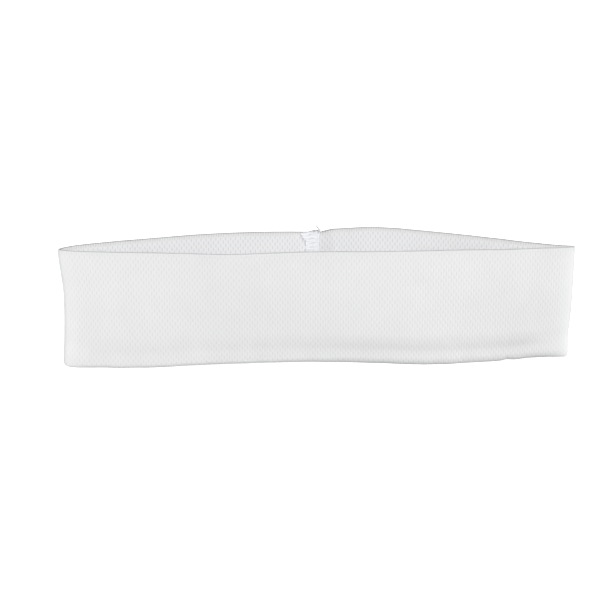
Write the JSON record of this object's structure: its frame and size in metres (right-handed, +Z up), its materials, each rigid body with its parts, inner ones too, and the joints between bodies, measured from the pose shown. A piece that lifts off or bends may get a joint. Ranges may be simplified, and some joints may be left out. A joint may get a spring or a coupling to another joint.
{
  "type": "sports headband",
  "caption": "Double-layer white mesh headband: a folded, hemmed strip closed into a loop by an overlocked seam.",
  "frame": {"origin": "centre of the loop's footprint, on the surface its hemmed edge stands on", "axes": "+Z up through the loop, +X along the loop's longest extent, +Y from the forehead side to the seam side"},
  "size_m": [0.242, 0.0458, 0.0587],
  "materials": {
    "white_mesh_knit": "matte white warp-knitted polyester with small closed mesh dimples",
    "white_sewing_thread": "white textured polyester sewing thread, slightly brighter than the mesh"
  },
  "bodies": {
    "band": {"mesh_strip": "white_mesh_knit", "hem_needle_thread": "white_sewing_thread", "hem_upper_looper_thread": "white_sewing_thread", "hem_lower_looper_thread": "white_sewing_thread"},
    "seam_line": {"seam_line_needle_thread": "white_sewing_thread"},
    "seam_flap": {"left_end_plies": "white_mesh_knit", "right_end_plies": "white_mesh_knit", "flap_needle_thread": "white_sewing_thread", "flap_upper_looper_thread": "white_sewing_thread", "flap_lower_looper_thread": "white_sewing_thread", "thread_tails": "white_sewing_thread"}
  },
  "joints": [
    {"name": "loop_opening", "type": "slide", "parent": "band", "child": "seam_line", "axis": [0, 1, 0], "range_m": [-0.014, 0.03], "stiffness_N_per_m": 20, "deforming": ["mesh_strip", "hem_needle_thread", "hem_upper_looper_thread", "hem_lower_looper_thread"]},
    {"name": "seam_allowance_fold", "type": "hinge", "parent": "seam_line", "child": "seam_flap", "pos_m": [0.0015, 0.0177, 0.028], "axis": [0, 0, 1], "range_deg": [0, 165], "stiffness_Nm_per_rad": 0.0001}
  ]
}
